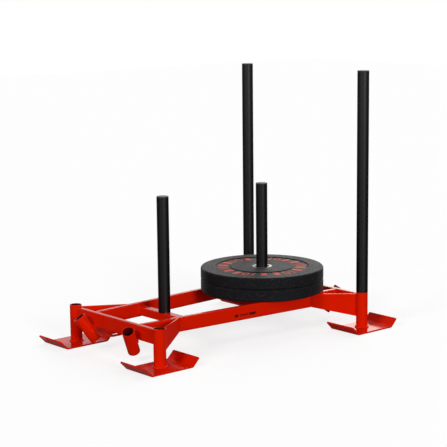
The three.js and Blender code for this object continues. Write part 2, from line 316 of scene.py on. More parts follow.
def section_path(width, height, open_top=False):
    """Points round a box tube, as pairs: from the middle of its top and back, or all but the top."""
    half_width, half_height = width / 2 + BEAD_PROUD, height / 2 + BEAD_PROUD
    corner = BEAM_CORNER + BEAD_PROUD
    w, h = half_width - corner, half_height - corner
    arcs = [(w, h, 90, 0), (w, -h, 0, -90), (-w, -h, -90, -180), (-w, h, 180, 90)]
    points = []
    for x, y, start, stop in arcs:
        for i in range(ARC_STEPS + 1):
            angle = math.radians(start + (stop - start) * i / ARC_STEPS)
            points.append((x + corner * math.cos(angle), y + corner * math.sin(angle)))
    if open_top:
        half_arc = (ARC_STEPS + 1) // 2
        return points[half_arc:-half_arc]
    return [(0, half_height), *points, (0, half_height), (w, half_height)]


# Materials

# Sizes of the patterns. The powder's grain, the caps' spark texture and the turning marks are drawn
# coarser than the real ones, so that they show.
RED_CLOUD, ORANGE_PEEL, OVERSPRAY = 60, 3, 8
POWDER_GRAIN, SPARK_TEXTURE = 1.6, 1.2
CRUMB, RUBBER_CLOUD = 4, 25
ZINC_CLOUD = 9
TURNING_SCALE = 1 / 4   # of a Wave Texture, whose rings then lie about 1.3 mm apart
INK_COVER, PAINT_WEAR = 2, 3

FLECK_SHARE = 0.1       # share of the rubber's grains that are coloured
FLECK_REACH = 0.55      # how far a coloured grain fills its place
GREEN_FROM, VIOLET_FROM = 0.45, 0.75    # where the flecks turn from red to green, and to violet


def linear(hex_colour):
    """An sRGB hex colour as the linear values a socket takes."""
    channels = [int(hex_colour[i:i + 2], 16) / 255 for i in (1, 3, 5)]
    return [c / 12.92 if c <= 0.04045 else ((c + 0.055) / 1.055) ** 2.4 for c in channels] + [1]


def add_node(tree, kind, values=(), links=(), **settings):
    """Adds a node with its settings, its socket values and the links into it."""
    node = tree.nodes.new(kind)
    for name, value in settings.items():
        setattr(node, name, value)
    for socket, value in dict(values).items():
        node.inputs[socket].default_value = value
    for socket, source in dict(links).items():
        tree.links.new(source, node.inputs[socket])
    return node


def new_coat(name):
    """A material with its tree, its shader and its place in millimetres on the piece."""
    coat = bpy.data.materials.new(name)
    coat.use_nodes = True
    tree = coat.node_tree
    shader = tree.nodes["Principled BSDF"]
    where = add_node(tree, "ShaderNodeTexCoord")
    millimetres = add_node(
        tree, "ShaderNodeMapping", {"Scale": (1000, 1000, 1000)}, {"Vector": where.outputs["Object"]})
    return coat, tree, shader, millimetres.outputs["Vector"]


def sheen_by_angle(tree, shader, levels):
    """Sets how strong the gloss is from face on to grazing, by the levels of a Map Range."""
    graze = add_node(tree, "ShaderNodeLayerWeight", {"Blend": 0.5})
    sheen = add_node(tree, "ShaderNodeMapRange", levels, {"Value": graze.outputs["Facing"]})
    tree.links.new(sheen.outputs["Result"], shader.inputs["Specular IOR Level"])


def red_powder_coat():
    """Gloss polyester powder, baked: deep even red with the faint orange peel of the flowed powder.

    Its gloss shows mainly at a grazing angle, where flat tops turn pale.
    """
    coat, tree, shader, place_mm = new_coat("gloss_red_powder_coat")
    shader.inputs["IOR"].default_value = 1.5
    sheen_by_angle(
        tree, shader, {"From Min": 0.742, "From Max": 0.768, "To Min": 0.03, "To Max": 0.34})
    shader.inputs["Specular Tint"].default_value = linear("#FFF2E8")
    cloud = add_node(
        tree, "ShaderNodeTexNoise", {"Scale": 1 / RED_CLOUD, "Detail": 2}, {"Vector": place_mm})
    tone = add_node(tree, "ShaderNodeMix", {"A": linear("#DC1900"), "B": linear("#E41F00")},
                    {"Factor": cloud.outputs["Fac"]}, data_type="RGBA")
    tree.links.new(tone.outputs["Result"], shader.inputs["Base Color"])
    peel = add_node(
        tree, "ShaderNodeTexNoise", {"Scale": 1 / ORANGE_PEEL, "Detail": 1, "Roughness": 0.4},
        {"Vector": place_mm})
    gloss = add_node(tree, "ShaderNodeMapRange", {"To Min": 0.1, "To Max": 0.18},
                     {"Value": peel.outputs["Fac"]})
    tree.links.new(gloss.outputs["Result"], shader.inputs["Roughness"])
    bump = add_node(tree, "ShaderNodeBump", {"Strength": 0.06, "Distance": 0.0002},
                    {"Height": peel.outputs["Fac"]})
    tree.links.new(bump.outputs["Normal"], shader.inputs["Normal"])
    return coat


def bore_dusting_and_painted_shade():
    """The inside of a tube: a thin dusting of the red powder, in a dark red that is painted shade for the
    bore.
    """
    coat, tree, shader, place_mm = new_coat("bore_dusting_with_painted_shade")
    shader.inputs["Specular IOR Level"].default_value = 0.1
    dusting = add_node(
        tree, "ShaderNodeTexNoise", {"Scale": 1 / OVERSPRAY, "Detail": 4}, {"Vector": place_mm})
    # Painted shade: both reds are darkened for the inside of the bore, and the noise between them is the
    # uneven dusting
    tone = add_node(tree, "ShaderNodeMix", {"A": linear("#3E0806"), "B": linear("#6E0C08")},
                    {"Factor": dusting.outputs["Fac"]}, data_type="RGBA")
    tree.links.new(tone.outputs["Result"], shader.inputs["Base Color"])
    gloss = add_node(tree, "ShaderNodeMapRange", {"To Min": 0.6, "To Max": 0.85},
                     {"Value": dusting.outputs["Fac"]})
    tree.links.new(gloss.outputs["Result"], shader.inputs["Roughness"])
    return coat


def black_powder_coat():
    """Semi-gloss black powder: near black, with a fine grain that spreads the highlight.

    The gloss fades towards a grazing angle, so a tube's edges stay dark.
    """
    coat, tree, shader, place_mm = new_coat("semi_gloss_black_powder_coat")
    shader.inputs["IOR"].default_value = 1.5
    sheen_by_angle(tree, shader, {"From Max": 0.35, "To Min": 0.5, "To Max": 0.06})
    grain = add_node(
        tree, "ShaderNodeTexNoise", {"Scale": 1 / POWDER_GRAIN, "Detail": 2}, {"Vector": place_mm})
    tone = add_node(tree, "ShaderNodeMix", {"A": linear("#020203"), "B": linear("#060608")},
                    {"Factor": grain.outputs["Fac"]}, data_type="RGBA")
    tree.links.new(tone.outputs["Result"], shader.inputs["Base Color"])
    gloss = add_node(tree, "ShaderNodeMapRange", {"To Min": 0.26, "To Max": 0.36},
                     {"Value": grain.outputs["Fac"]})
    tree.links.new(gloss.outputs["Result"], shader.inputs["Roughness"])
    bump = add_node(tree, "ShaderNodeBump", {"Strength": 0.2, "Distance": 0.0002},
                    {"Height": grain.outputs["Fac"]})
    tree.links.new(bump.outputs["Normal"], shader.inputs["Normal"])
    return coat


def polyethylene():
    """Moulded low-density polyethylene: black, waxy and a little softer in gloss than the tube."""
    coat, tree, shader, place_mm = new_coat("moulded_black_polyethylene")
    shader.inputs["IOR"].default_value = 1.51
    shader.inputs["Specular IOR Level"].default_value = 0.35
    shader.inputs["Base Color"].default_value = linear("#101011")
    spark = add_node(
        tree, "ShaderNodeTexNoise", {"Scale": 1 / SPARK_TEXTURE, "Detail": 3}, {"Vector": place_mm})
    gloss = add_node(tree, "ShaderNodeMapRange", {"To Min": 0.42, "To Max": 0.58},
                     {"Value": spark.outputs["Fac"]})
    tree.links.new(gloss.outputs["Result"], shader.inputs["Roughness"])
    bump = add_node(tree, "ShaderNodeBump", {"Strength": 0.25, "Distance": 0.0002},
                    {"Height": spark.outputs["Fac"]})
    tree.links.new(bump.outputs["Normal"], shader.inputs["Normal"])
    return coat


def flecked_rubber():
    """Pressed crumb rubber: matt black grains up to 4 mm, about one in ten red, green or violet."""
    coat, tree, shader, place_mm = new_coat("flecked_crumb_rubber")
    shader.inputs["IOR"].default_value = 1.52
    sheen_by_angle(
        tree, shader, {"From Min": 0.55, "From Max": 0.9, "To Min": 0.06, "To Max": 0.32})
    crumb = add_node(tree, "ShaderNodeTexVoronoi", {"Scale": 1 / CRUMB}, {"Vector": place_mm})
    pick = add_node(tree, "ShaderNodeSeparateColor", (), {"Color": crumb.outputs["Color"]})
    chosen = add_node(tree, "ShaderNodeMath", {1: 1 - FLECK_SHARE}, {0: pick.outputs["Red"]},
                      operation="GREATER_THAN")
    near = add_node(tree, "ShaderNodeMath", {1: FLECK_REACH}, {0: crumb.outputs["Distance"]},
                    operation="LESS_THAN")
    fleck = add_node(tree, "ShaderNodeMath", (), {0: chosen.outputs[0], 1: near.outputs[0]},
                     operation="MULTIPLY")
    hues = add_node(tree, "ShaderNodeValToRGB", (), {"Fac": pick.outputs["Green"]})
    hues.color_ramp.interpolation = "CONSTANT"
    stops = hues.color_ramp.elements
    stops[0].color = linear("#4A1A1C")
    stops[1].position, stops[1].color = GREEN_FROM, linear("#1A342C")
    last = stops.new(VIOLET_FROM)
    last.color = linear("#34203A")
    cloud = add_node(
        tree, "ShaderNodeTexNoise", {"Scale": 1 / RUBBER_CLOUD, "Detail": 4}, {"Vector": place_mm})
    black = add_node(tree, "ShaderNodeMix", {"A": linear("#101214"), "B": linear("#1C1E20")},
                     {"Factor": cloud.outputs["Fac"]}, data_type="RGBA")
    tone = add_node(
        tree, "ShaderNodeMix", (),
        {"Factor": fleck.outputs[0], "A": black.outputs["Result"], "B": hues.outputs["Color"]},
        data_type="RGBA")
    tree.links.new(tone.outputs["Result"], shader.inputs["Base Color"])
    gloss = add_node(tree, "ShaderNodeMapRange", {"To Min": 0.55, "To Max": 0.8},
                     {"Value": pick.outputs["Blue"]})
    tree.links.new(gloss.outputs["Result"], shader.inputs["Roughness"])
    bump = add_node(tree, "ShaderNodeBump", {"Strength": 0.3, "Distance": 0.0004},
                    {"Height": crumb.outputs["Distance"]})
    tree.links.new(bump.outputs["Normal"], shader.inputs["Normal"])
    return coat


def zinc_plated_steel():
    """Turned mild steel with bright zinc: pale grey metal with faint turning marks round the bore."""
    coat, tree, shader, place_mm = new_coat("bright_zinc_plated_steel")
    shader.inputs["Metallic"].default_value = 1
    cloud = add_node(
        tree, "ShaderNodeTexNoise", {"Scale": 1 / ZINC_CLOUD, "Detail": 3}, {"Vector": place_mm})
    tone = add_node(tree, "ShaderNodeMix", {"A": linear("#64676A"), "B": linear("#828486")},
                    {"Factor": cloud.outputs["Fac"]}, data_type="RGBA")
    tree.links.new(tone.outputs["Result"], shader.inputs["Base Color"])
    centred = add_node(tree, "ShaderNodeMapping", {"Location": (-WEIGHT_POST_X, 0, 0)},
                       {"Vector": place_mm})
    marks = add_node(
        tree, "ShaderNodeTexWave", {"Scale": TURNING_SCALE, "Distortion": 0.6, "Detail": 2},
        {"Vector": centred.outputs["Vector"]}, wave_type="RINGS", rings_direction="Z")
    gloss = add_node(tree, "ShaderNodeMapRange", {"To Min": 0.24, "To Max": 0.36},
                     {"Value": marks.outputs["Fac"]})
    tree.links.new(gloss.outputs["Result"], shader.inputs["Roughness"])
    bump = add_node(tree, "ShaderNodeBump", {"Strength": 0.15, "Distance": 0.0002},
                    {"Height": marks.outputs["Fac"]})
    tree.links.new(bump.outputs["Normal"], shader.inputs["Normal"])
    return coat


def screen_ink():
    """Thin black ink printed on the red powder, which shows through a little."""
    coat, tree, shader, place_mm = new_coat("printed_black_ink")
    shader.inputs["Specular IOR Level"].default_value = 0.12
    cover = add_node(
        tree, "ShaderNodeTexNoise", {"Scale": 1 / INK_COVER, "Detail": 3}, {"Vector": place_mm})
    tone = add_node(tree, "ShaderNodeMix", {"A": linear("#2A0A06"), "B": linear("#541008")},
                    {"Factor": cover.outputs["Fac"]}, data_type="RGBA")
    tree.links.new(tone.outputs["Result"], shader.inputs["Base Color"])
    gloss = add_node(tree, "ShaderNodeMapRange", {"To Min": 0.3, "To Max": 0.5},
                     {"Value": cover.outputs["Fac"]})
    tree.links.new(gloss.outputs["Result"], shader.inputs["Roughness"])
    return coat


def mark_paint():
    """Orange-red enamel rolled on to raised rubber marks: matt, and worn thin in patches."""
    coat, tree, shader, place_mm = new_coat("rolled_orange_red_enamel")
    shader.inputs["Specular IOR Level"].default_value = 0.3
    wear = add_node(
        tree, "ShaderNodeTexNoise", {"Scale": 1 / PAINT_WEAR, "Detail": 4, "Roughness": 0.7},
        {"Vector": place_mm})
    thin = add_node(tree, "ShaderNodeMapRange", {"From Min": 0.6, "From Max": 0.72},
                    {"Value": wear.outputs["Fac"]})
    tone = add_node(tree, "ShaderNodeMix", {"A": linear("#CE4A2C"), "B": linear("#4A211A")},
                    {"Factor": thin.outputs["Result"]}, data_type="RGBA")
    tree.links.new(tone.outputs["Result"], shader.inputs["Base Color"])
    gloss = add_node(tree, "ShaderNodeMapRange", {"To Min": 0.5, "To Max": 0.75},
                     {"Value": wear.outputs["Fac"]})
    tree.links.new(gloss.outputs["Result"], shader.inputs["Roughness"])
    return coat


RED = red_powder_coat()
BORE_SHADE = bore_dusting_and_painted_shade()
BLACK = black_powder_coat()
PLASTIC = polyethylene()
RUBBER = flecked_rubber()
STEEL = zinc_plated_steel()
PAINT = mark_paint()
INK = screen_ink()


# Frame

RAIL_SPLAY = (REAR_RAIL_SPACING - FRONT_RAIL_SPACING) / 2 / WHEELBASE


def rail_offset(x):
    """How far a rail's middle lies out from the sled's own, at a place along it."""
    return FRONT_RAIL_SPACING / 2 + RAIL_SPLAY * (x - FRONT_X)


# Each corner: place, which end and side, and its gusset's reach and drop
CORNERS = {
    "left_front": (FRONT_X, -FRONT_TRACK / 2, -1, -1, FRONT_GUSSET_REACH, FRONT_GUSSET_DROP),
    "right_front": (FRONT_X, FRONT_TRACK / 2, -1, 1, FRONT_GUSSET_REACH, FRONT_GUSSET_DROP),
    "left_rear": (REAR_X, -REAR_TRACK / 2, 1, -1, REAR_GUSSET_REACH, REAR_GUSSET_DROP),
    "right_rear": (REAR_X, REAR_TRACK / 2, 1, 1, REAR_GUSSET_REACH, REAR_GUSSET_DROP),
}


def skid():
    """A plate cut with rounded corners, then bent up at both ends."""
    outer = SKID_BEND + SKID_THICKNESS
    middle = SKID_BEND + SKID_THICKNESS / 2
    bend_start = SKID_FLAT / 2 - outer * math.tan(SKID_ANGLE / 2)
    bend_length = middle * SKID_ANGLE
    lip_start = Vector((
        bend_start + outer * math.sin(SKID_ANGLE), outer - outer * math.cos(SKID_ANGLE)))
    lip = (Vector((SKID_FLAT / 2 + SKID_LIP_RUN, SKID_LIP_RUN)) - lip_start).length
    half = bend_start + bend_length + lip
    bm = bmesh.new()
    bmesh.ops.create_grid(bm, x_segments=1, y_segments=1, size=0.5)
    bmesh.ops.scale(bm, vec=(2 * half, SKID_WIDTH, 1), verts=bm.verts)
    for corner in bm.verts[:]:
        round_corner(bm, corner, SKID_CORNER)
    top = bmesh.ops.extrude_face_region(bm, geom=bm.faces[:])
    bmesh.ops.translate(bm, vec=(0, 0, SKID_THICKNESS), verts=verts_of(top))
    rims = [e for e in bm.edges if abs(e.verts[0].co.z - e.verts[1].co.z) < SAME_PLACE]
    round_edges(bm, rims, SKID_EDGE)
    # Lines across the plate, where it will bend
    for side in (-1, 1):
        for i in range(BEND_STEPS + 1):
            x = side * (bend_start + bend_length * i / BEND_STEPS)
            bmesh.ops.bisect_plane(
                bm, geom=bm.verts[:] + bm.edges[:] + bm.faces[:], plane_co=(x, 0, 0), plane_no=(1, 0, 0))
    # What lies past a bend's start is wrapped round it, and the lip runs on straight
    for vert in bm.verts:
        run = abs(vert.co.x) - bend_start
        if run > 0:
            turn = min(run, bend_length) / middle
            past = max(0, run - bend_length)
            radius = outer - vert.co.z
            x = bend_start + radius * math.sin(turn) + past * math.cos(turn)
            vert.co.z = outer - radius * math.cos(turn) + past * math.sin(turn)
            vert.co.x = math.copysign(x, vert.co.x)
    return bm


def cross_member(track):
    """A box tube with both ends coped to the posts."""
    bm = moved(box_tube(BEAM_WIDTH, BEAM_HEIGHT, track - 2 * TUBE_BORE), ALONG_Y)
    reach = TUBE_RADIUS + SEAM
    for vert in bm.verts:
        depth = math.sqrt(reach ** 2 - vert.co.x ** 2)
        vert.co.y = math.copysign(track / 2 - depth, vert.co.y)
    return bm


def between_rails(width, height, x, z):
    """A box tube made with its ends at -1 and 1, which are then scaled out to the splayed rails."""
    bm = moved(box_tube(width, height, 2), at(x, 0, z) @ ALONG_Y)
    for vert in bm.verts:
        vert.co.y *= rail_offset(vert.co.x) - BEAM_WIDTH / 2 - SEAM
    return bm


def gusset(corner):
    """A plate on edge from the post to the rail's outer face, and the vertical weld lines on it."""
    x, y, end, side, reach, full_drop = corner
    rail_x = x - end * reach
    rail_y = side * (rail_offset(rail_x) + BEAM_WIDTH / 2)
    along = Vector((rail_x - x, rail_y - y, 0))
    start, length = TUBE_RADIUS + SEAM, along.length
    drop = full_drop * (1 - start / length)
    bm = bmesh.new()
    outline = [
        (start, FRAME_BOTTOM - drop), (length, FRAME_BOTTOM),
        (length, FRAME_TOP), (start, FRAME_TOP)]
    bm.faces.new([bm.verts.new((u, -GUSSET_THICKNESS / 2, z)) for u, z in outline])
    far = bmesh.ops.extrude_face_region(bm, geom=bm.faces[:])
    bmesh.ops.translate(bm, vec=(0, GUSSET_THICKNESS, 0), verts=verts_of(far))
    turn = at(x, y, 0) @ Matrix.Rotation(math.atan2(along.y, along.x), 4, "Z")
    moved(bm, turn)
    outward = Vector((-RAIL_SPLAY, side, 0)).normalized()
    face = Vector((rail_x, side * (rail_offset(rail_x) + BEAM_WIDTH / 2 + SEAM), 0))
    cut = bmesh.ops.bisect_plane(
        bm, geom=bm.verts[:] + bm.edges[:] + bm.faces[:], plane_co=face, plane_no=outward,
        clear_inner=True)
    rim = [e for e in cut["geom_cut"] if isinstance(e, bmesh.types.BMEdge)]
    bmesh.ops.holes_fill(bm, edges=rim)
    bmesh.ops.recalc_face_normals(bm, faces=bm.faces[:])
    round_edges(bm, [e for e in bm.edges if e.calc_face_angle(0) > SHARP], EDGE)
    lines = []
    direction = along.normalized()
    for flank in (-1, 1):
        offset = flank * (GUSSET_THICKNESS / 2 + GUSSET_OFF_PLATE)
        out = math.sqrt((TUBE_RADIUS + GUSSET_OFF_POST) ** 2 - offset ** 2)
        at_post = turn @ Vector((out, offset, 0))
        foot = FRAME_BOTTOM - drop + GUSSET_FOOT_END
        lines.append([(*at_post.xy, foot), (*at_post.xy, FRAME_TOP - GUSSET_TOP_END)])
        base = turn @ Vector((0, offset, 0))
        gap = (face + outward * GUSSET_OFF_RAIL - base).dot(outward) / direction.dot(outward)
        at_rail = base + direction * gap
        lines.append([
            (*at_rail.xy, FRAME_BOTTOM + GUSSET_RAIL_END), (*at_rail.xy, FRAME_TOP - GUSSET_RAIL_END)])
    return bm, lines


def handle_axis(end, side):
    """The direction of a low handle, up and out."""
    lean, toe = math.sin(HANDLE_LEAN), HANDLE_TOE
    return Vector((end * lean * math.cos(toe), side * lean * math.sin(toe), math.cos(HANDLE_LEAN)))


def handle_seat(x, end, side):
    """The point on a low handle's axis that is level with its touch on the beam's lower outer edge."""
    axis = handle_axis(end, side)
    edge_centre = Vector((
        x + end * (BEAM_WIDTH / 2 - BEAM_CORNER), side * HANDLE_SPACING / 2, FRAME_BOTTOM + BEAM_CORNER))
    outward = Vector((0, end, 0)).cross(axis).normalized()
    return edge_centre + outward * (BEAM_CORNER + SEAM + TUBE_RADIUS)


HANDLE_WELD_SECTIONS, HANDLE_WELD_STEP = 9, 1.8     # to either side of the touch
HALVINGS = 40           # rounds of the search for a point on a weld


def handle_welds(x, end, side):
    """Two weld lines in the corners between a low handle and its beam, over and under the touch."""
    axis, seat = handle_axis(end, side), handle_seat(x, end, side)
    touch_y = side * HANDLE_SPACING / 2
    reach = TUBE_RADIUS + HANDLE_OUT

    def distance(p):
        """How far a point lies outside the line of the weld's middle round the tube."""
        d = p - seat
        return (d - axis * d.dot(axis)).length - reach

    def solve(point_at, low, high):
        """The point on a line where that distance is nought."""
        for _ in range(HALVINGS):
            middle = (low + high) / 2
            if distance(point_at(middle)) > 0:
                high = middle
            else:
                low = middle
        return point_at((low + high) / 2)

    upper, under = [], []
    face_x = x + end * (BEAM_WIDTH / 2 + HANDLE_OUT)
    floor_z = FRAME_BOTTOM - HANDLE_OUT
    for i in range(-HANDLE_WELD_SECTIONS, HANDLE_WELD_SECTIONS + 1):
        y = touch_y + HANDLE_WELD_STEP * i
        upper.append(solve(lambda z: Vector((face_x, y, z)), seat.z, FRAME_TOP))
        under.append(solve(lambda s: Vector((seat.x - end * s, y, floor_z)), 0, 2 * BEAM_HEIGHT))
    return [upper, under]


def corner_pieces(name, corner):
    """A corner's skid, post, gusset and low handle, and the welds between them and the beams."""
    x, y, end, side = corner[:4]
    place(moved(skid(), at(x, y, 0)), f"{name}_skid_plate", "root", [RED],
          [f"{name}_skid"])
    place(moved(round_tube(SKID_THICKNESS, POST_TOP), at(x, y, 0)), f"{name}_corner_post", "root",
          [RED, BORE_SHADE], [f"{name}_post"])
    plate, lines = gusset(corner)
    place(plate, f"{name}_gusset_plate", "root", [RED], [f"{name}_gusset"])
    tube = round_tube(HANDLE_REACH - HANDLE_LENGTH, HANDLE_REACH)
    turn = Vector((0, 0, 1)).rotation_difference(handle_axis(end, side)).to_matrix().to_4x4()
    place(moved(tube, Matrix.Translation(handle_seat(x, end, side)) @ turn),
          f"{name}_low_handle_tube", "root", [RED, BORE_SHADE], [f"{name}_low_handle"])
    welds = bmesh.new()
    lay_bead(welds, ring_path(x, y, TUBE_RADIUS + FOOT_OUT, SKID_THICKNESS + FOOT_UP), FOOT_BEAD)
    for line in lines:
        lay_bead(welds, line, GUSSET_BEAD)
    for line in handle_welds(x, end, side):
        lay_bead(welds, line, HANDLE_BEAD)
    outline = section_path(BEAM_WIDTH, BEAM_HEIGHT)
    reach = TUBE_RADIUS + CROSS_OUT
    lay_bead(welds, [
        (x + u, y - side * math.sqrt(reach ** 2 - u ** 2), BEAM_MIDDLE + v)
        for u, v in outline], CROSS_BEAD)
    outline = section_path(BEAM_WIDTH, BEAM_HEIGHT, open_top=True)
    joint_x = x - end * (BEAM_WIDTH / 2 + RAIL_OUT)
    lay_bead(welds, [
        (joint_x, side * rail_offset(joint_x) + u, BEAM_MIDDLE + v) for u, v in outline], RAIL_BEAD)
    place(welds, f"{name}_welds", "root", [RED])


for name, corner in CORNERS.items():
    corner_pieces(name, corner)

for name, x, track in (("front", FRONT_X, FRONT_TRACK), ("rear", REAR_X, REAR_TRACK)):
    place(moved(cross_member(track), at(x, 0, BEAM_MIDDLE)), f"{name}_cross_beam", "root",
          [RED], [f"{name}_cross_member"])

for name, side in (("left", -1), ("right", 1)):
    rail = moved(box_tube(BEAM_WIDTH, BEAM_HEIGHT, WHEELBASE - BEAM_WIDTH), ALONG_X)
    splay = Matrix.Identity(4)
    splay[1][0] = side * RAIL_SPLAY
    place(moved(rail, at(0, side * rail_offset(0), BEAM_MIDDLE) @ splay), f"{name}_side_rail", "root",
          [RED], [f"{name}_rail"])

CARRIER_MIDDLE = CARRIER_TOP - CARRIER_HEIGHT / 2
SUPPORT_SECTION = (BEAM_WIDTH, BEAM_HEIGHT, BEAM_MIDDLE)
CARRIER_SECTION = (CARRIER_WIDTH, CARRIER_HEIGHT, CARRIER_MIDDLE)
inner_welds = bmesh.new()
for name, node, x, (width, height, z) in (
        ("plate_support_beam", "plate_support", SUPPORT_X, SUPPORT_SECTION),
        ("front_carrier", "front_post_carrier", -WEIGHT_POST_X, CARRIER_SECTION),
        ("rear_carrier", "rear_post_carrier", WEIGHT_POST_X, CARRIER_SECTION)):
    place(between_rails(width, height, x, z), name, "root", [RED], [node])
    outline = section_path(width, height, open_top=node == "plate_support")
    for side in (-1, 1):
        lay_bead(inner_welds, [
            (x + u, side * (rail_offset(x + u) - BEAM_WIDTH / 2 - CARRIER_OUT), z + v)
            for u, v in outline], RAIL_BEAD)
place(inner_welds, "inner_welds", "root", [RED])


# A printed strip on the left rail: each mark's middle along the rail, and its length
STRIP_MARKS = ((-37, 15), (-18, 5), (-9, 5), (0, 5), (9, 5), (33, 28))
STRIP_Z, STRIP_HEIGHT, STRIP_SLANT = 97.5, 9, 0.3
INK_PROUD, INK_SUNK = 0.1, 0.1


def printed_strip():
    """Plain slanted bars in a row, on the rail's outer face."""
    bm = bmesh.new()
    for middle, length in STRIP_MARKS:
        shape = Matrix.Diagonal((length, INK_PROUD + INK_SUNK, STRIP_HEIGHT, 1))
        shape[0][2] = STRIP_SLANT * STRIP_HEIGHT
        bmesh.ops.create_cube(bm, size=1, matrix=at(middle, (INK_SUNK - INK_PROUD) / 2, STRIP_Z) @ shape)
    for vert in bm.verts:
        vert.co.y -= rail_offset(vert.co.x) + BEAM_WIDTH / 2
    return bm


place(printed_strip(), "left_rail_printed_strip", "root", [INK])


def tow_loop():
    """A round bar bent to a U, which lies level under the front cross member."""
    bm = bmesh.new()
    upright = Matrix.Rotation(math.pi / 2, 4, "Y")
    bmesh.ops.create_circle(
        bm, cap_ends=True, segments=BAR_STEPS, radius=TOW_BAR,
        matrix=at(TOW_ROOT, -TOW_BEND, 0) @ upright)
    leg = bmesh.ops.extrude_face_region(bm, geom=bm.faces[:])
    bend_x = TOW_BEND - TOW_REACH
    bmesh.ops.translate(bm, vec=(bend_x - TOW_ROOT, 0, 0), verts=verts_of(leg))
    front = [f for f in leg["geom"] if isinstance(f, bmesh.types.BMFace)]
    bend = bmesh.ops.spin(
        bm, geom=front, cent=(bend_x, 0, 0), axis=(0, 0, -1), angle=math.pi, steps=LOOP_STEPS)
    end = bmesh.ops.extrude_face_region(
        bm, geom=[f for f in bend["geom_last"] if isinstance(f, bmesh.types.BMFace)])
    bmesh.ops.translate(bm, vec=(TOW_ROOT - bend_x, 0, 0), verts=verts_of(end))
    # Round faces away from the two ends are left inside the bar, where leg and bend meet
    inside = [
        f for f in bm.faces
        if len(f.verts) > 4 and abs(f.calc_center_median().x - TOW_ROOT) > EDGE]
    bmesh.ops.delete(bm, geom=inside, context="FACES_ONLY")
    round_edges(bm, [e for e in bm.edges if e.calc_face_angle(0) > SHARP], EDGE)
    return bm


TOW_Z = FRAME_BOTTOM - SEAM - TOW_BAR
place(moved(tow_loop(), at(FRONT_X, 0, TOW_Z)), "tow_loop_bar", "root", [RED],
      ["tow_loop"])
tow_welds = bmesh.new()
for leg_y in (-TOW_BEND, TOW_BEND):
    for flank in (-1, 1):
        y, z = leg_y + flank * (TOW_BAR - TOW_IN), FRAME_BOTTOM - TOW_DOWN
        lay_bead(tow_welds, [
            (FRONT_X - TOW_WELD_LEAD, y, z), (FRONT_X + TOW_ROOT - TOW_WELD_END, y, z)], TOW_BEAD)
place(tow_welds, "tow_loop_welds", "root", [RED])


# Posts and poles

def cap(z):
    """A push-in cap whose head is flush with the tube."""
    return moved(turned([
        (0, -CAP_PLUG, 0), (INNER_RADIUS - CAP_CHAMFER, -CAP_PLUG, 0),
        (INNER_RADIUS, CAP_CHAMFER - CAP_PLUG, 0), (INNER_RADIUS, 0, 0),
        (TUBE_RADIUS, 0, FINE_EDGE), (TUBE_RADIUS, CAP_HEAD, CAP_EDGE),
        (0, CAP_HEAD, 0)]), at(0, 0, z))


for name, x in (("front", -WEIGHT_POST_X), ("rear", WEIGHT_POST_X)):
    body = f"{name}_weight_post"
    head = WEIGHT_POST_TOP - CAP_HEAD
    stub = turned([
        (INNER_RADIUS - INNER_WALL, CARRIER_TOP, 0), (INNER_RADIUS, CARRIER_TOP, 0),
        (INNER_RADIUS, CARRIER_TOP + STUB_HEIGHT - STUB_CHAMFER, 0),
        (INNER_RADIUS - STUB_CHAMFER, CARRIER_TOP + STUB_HEIGHT, EDGE),
        (INNER_RADIUS - INNER_WALL, CARRIER_TOP + STUB_HEIGHT, 0)])
    place(moved(stub, at(x, 0, 0)), f"{name}_stub", "root", [RED],
          [f"{name}_post_stub"])
    place(moved(round_tube(CARRIER_TOP, head), at(x, 0, 0)), f"{body}_tube", body, [BLACK, BORE_SHADE],
          [body])
    place(moved(cap(head), at(x, 0, 0)), f"{body}_end_cap", body, [PLASTIC],
          [f"{body}_cap"])

for name, y in (("left", -REAR_TRACK / 2), ("right", REAR_TRACK / 2)):
    body = f"{name}_pole"
    head = POLE_TOP - CAP_HEAD
    low, high = POST_TOP - SPIGOT_DROP, POST_TOP + SPIGOT_GRIP
    spigot = turned([
        (INNER_RADIUS - INNER_WALL, low, 0), (INNER_RADIUS - INNER_WALL / 2, low, 0),
        (INNER_RADIUS, low + INNER_WALL, EDGE), (INNER_RADIUS, high, 0),
        (INNER_RADIUS - INNER_WALL, high, 0)])
    place(moved(spigot, at(REAR_X, y, 0)), f"{name}_spigot", body, [BLACK],
          [f"{name}_pole_spigot"])
    place(moved(round_tube(POST_TOP, head), at(REAR_X, y, 0)), f"{name}_push_pole", body, [BLACK, BORE_SHADE],
          [f"{name}_tall_pole"])
    place(moved(cap(head), at(REAR_X, y, 0)), f"{name}_pole_end_cap", body, [PLASTIC],
          [f"{name}_pole_cap"])


# Bumper plates

MARK_RISE = 0.8         # how far a raised mark stands off the sunken ring
MARK_RADIUS = (RING_OUTER + RING_INNER) / 2
MARK_HEIGHT = 38
MARK_GROUPS = 6         # numbers round a face, with a pair of bars after each
NUMBER_SIZE, NUMBER_STEPS = 56, 3   # its height of type, and the facets in its curves
BAR_WIDTH = 20
BAR_PITCH = 0.33        # radians between a pair's two bars


def plate_rubber():
    """The rubber of a plate: a raised rim and hub on both faces, and a sunken ring between."""
    half = PLATE_THICKNESS / 2
    face = [
        (PLATE_RADIUS, half, PLATE_EDGE), (RING_OUTER, half, RING_EDGE),
        (RING_OUTER - RING_SLOPE, half - RING_DEPTH, RING_EDGE),
        (RING_INNER + RING_SLOPE, half - RING_DEPTH, RING_EDGE),
        (RING_INNER, half, RING_EDGE), (HUB_RADIUS + SEAM, half, RUBBER_LIP)]
    return turned(face + [(r, -z, rounding) for r, z, rounding in reversed(face)], PLATE_STEPS)


def hub_ring():
    """The steel ring in a plate's middle, with a chamfer at both ends of its bore."""
    half = PLATE_THICKNESS / 2
    face = [
        (HUB_RADIUS, half, FINE_EDGE), (HUB_BORE + HUB_CHAMFER, half, FINE_EDGE),
        (HUB_BORE, half - HUB_CHAMFER, FINE_EDGE)]
    return turned(face + [(r, -z, rounding) for r, z, rounding in reversed(face)], PLATE_STEPS)


